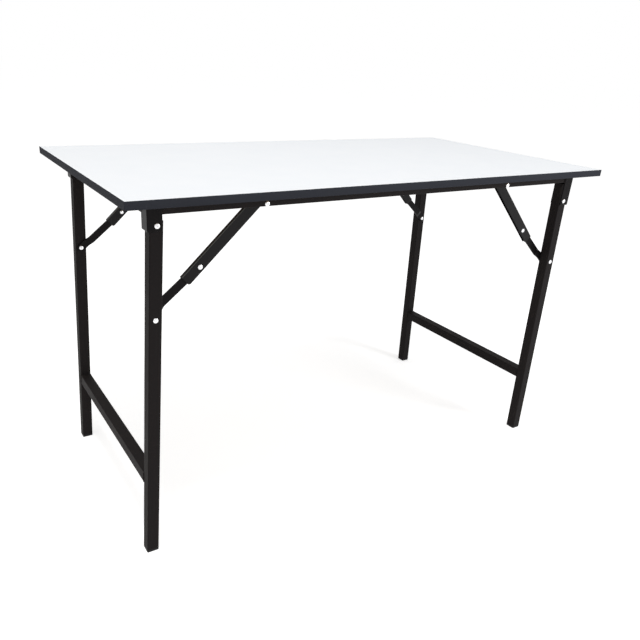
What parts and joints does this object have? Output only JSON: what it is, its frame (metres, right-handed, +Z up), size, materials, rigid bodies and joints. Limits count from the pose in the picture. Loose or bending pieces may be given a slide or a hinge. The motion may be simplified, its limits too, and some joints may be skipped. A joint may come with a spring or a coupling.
{
  "type": "folding trestle table",
  "caption": "Rectangular folding table: white laminated top with dark edging on a steel under-frame, splayed square-tube leg frames and locking stays that fold flat beneath it.",
  "frame": {"origin": "on the floor under the middle of the worktop", "axes": "+X along the length towards the end with the deeper brackets, +Y across the depth to the far side, +Z up"},
  "size_m": [1.2, 0.6, 0.75],
  "materials": {
    "white_laminate": "satin white melamine laminate",
    "black_edging": "satin slate-black plastic edging",
    "board_core": "raw particle board",
    "board_backing": "brown balancing sheet",
    "black_steel": "satin black paint",
    "bright_rivet": "bright domed rivet",
    "zinc_steel": "zinc plated",
    "black_cap": "moulded black plastic"
  },
  "bodies": {
    "under_frame": {"top_laminate": "white_laminate", "worktop_core": "board_core", "backing_sheet": "board_backing", "near_edging": "black_edging", "far_edging": "black_edging", "left_edging": "black_edging", "right_edging": "black_edging", "near_rail": "black_steel", "far_rail": "black_steel", "left_cross_rail": "black_steel", "right_cross_rail": "black_steel", "centre_cross_rail": "black_steel", "near_left_bracket": "black_steel", "far_left_bracket": "black_steel", "left_leg_pivot_rivets": "bright_rivet", "near_right_bracket": "black_steel", "far_right_bracket": "black_steel", "right_leg_pivot_rivets": "bright_rivet", "stay_rail_rivets": "bright_rivet", "stay_spacers": "zinc_steel", "top_screws": "zinc_steel"},
    "left_leg_frame": {"near_left_leg": "black_steel", "near_left_foot_cap": "black_cap", "far_left_leg": "black_steel", "far_left_foot_cap": "black_cap", "left_stretcher": "black_steel", "left_leg_stay_rivets": "bright_rivet"},
    "right_leg_frame": {"near_right_leg": "black_steel", "near_right_foot_cap": "black_cap", "far_right_leg": "black_steel", "far_right_foot_cap": "black_cap", "right_stretcher": "black_steel", "right_leg_stay_rivets": "bright_rivet"},
    "near_left_upper_arm": {"near_left_stay_channel": "black_steel", "near_left_stay_rivet": "bright_rivet"},
    "near_left_lower_arm": {"near_left_stay_bar": "black_steel", "near_left_bar_rivet_end": "bright_rivet"},
    "far_left_upper_arm": {"far_left_stay_channel": "black_steel", "far_left_stay_rivet": "bright_rivet"},
    "far_left_lower_arm": {"far_left_stay_bar": "black_steel", "far_left_bar_rivet_end": "bright_rivet"},
    "near_right_upper_arm": {"near_right_stay_channel": "black_steel", "near_right_stay_rivet": "bright_rivet"},
    "near_right_lower_arm": {"near_right_stay_bar": "black_steel", "near_right_bar_rivet_end": "bright_rivet"},
    "far_right_upper_arm": {"far_right_stay_channel": "black_steel", "far_right_stay_rivet": "bright_rivet"},
    "far_right_lower_arm": {"far_right_stay_bar": "black_steel", "far_right_bar_rivet_end": "bright_rivet"}
  },
  "joints": [
    {"name": "left_leg_fold", "type": "hinge", "parent": "under_frame", "child": "left_leg_frame", "pos_m": [-0.533, 0, 0.697], "axis": [0, -1, 0], "range_deg": [0, 92.37]},
    {"name": "right_leg_fold", "type": "hinge", "parent": "under_frame", "child": "right_leg_frame", "pos_m": [0.533, 0, 0.67], "axis": [0, 1, 0], "range_deg": [0, 92.37]},
    {"name": "near_left_channel_swing", "type": "hinge", "parent": "under_frame", "child": "near_left_upper_arm", "pos_m": [-0.319, -0.2277, 0.72], "axis": [0, 1, 0], "range_deg": [0, 43.4]},
    {"name": "near_left_bar_swing", "type": "hinge", "parent": "near_left_upper_arm", "child": "near_left_lower_arm", "pos_m": [-0.44061, -0.2277, 0.60503], "axis": [0, -1, 0], "range_deg": [0, 174.12]},
    {"name": "far_left_channel_swing", "type": "hinge", "parent": "under_frame", "child": "far_left_upper_arm", "pos_m": [-0.319, 0.2277, 0.72], "axis": [0, 1, 0], "range_deg": [0, 43.4]},
    {"name": "far_left_bar_swing", "type": "hinge", "parent": "far_left_upper_arm", "child": "far_left_lower_arm", "pos_m": [-0.44061, 0.2277, 0.60503], "axis": [0, -1, 0], "range_deg": [0, 174.12]},
    {"name": "near_right_channel_swing", "type": "hinge", "parent": "under_frame", "child": "near_right_upper_arm", "pos_m": [0.319, -0.2277, 0.72], "axis": [0, -1, 0], "range_deg": [0, 45.33]},
    {"name": "near_right_bar_swing", "type": "hinge", "parent": "near_right_upper_arm", "child": "near_right_lower_arm", "pos_m": [0.44169, -0.2277, 0.59595], "axis": [0, 1, 0], "range_deg": [0, 161.71]},
    {"name": "far_right_channel_swing", "type": "hinge", "parent": "under_frame", "child": "far_right_upper_arm", "pos_m": [0.319, 0.2277, 0.72], "axis": [0, -1, 0], "range_deg": [0, 45.33]},
    {"name": "far_right_bar_swing", "type": "hinge", "parent": "far_right_upper_arm", "child": "far_right_lower_arm", "pos_m": [0.44169, 0.2277, 0.59595], "axis": [0, 1, 0], "range_deg": [0, 161.71]}
  ],
  "couplings": [
    {"joint": "near_left_channel_swing", "follows": "left_leg_fold", "ratio": 0.46976},
    {"joint": "near_left_bar_swing", "follows": "left_leg_fold", "ratio": 1.8849},
    {"joint": "far_left_channel_swing", "follows": "left_leg_fold", "ratio": 0.46976},
    {"joint": "far_left_bar_swing", "follows": "left_leg_fold", "ratio": 1.8849},
    {"joint": "near_right_channel_swing", "follows": "right_leg_fold", "ratio": 0.49059},
    {"joint": "near_right_bar_swing", "follows": "right_leg_fold", "ratio": 1.7506},
    {"joint": "far_right_channel_swing", "follows": "right_leg_fold", "ratio": 0.49059},
    {"joint": "far_right_bar_swing", "follows": "right_leg_fold", "ratio": 1.7506}
  ]
}
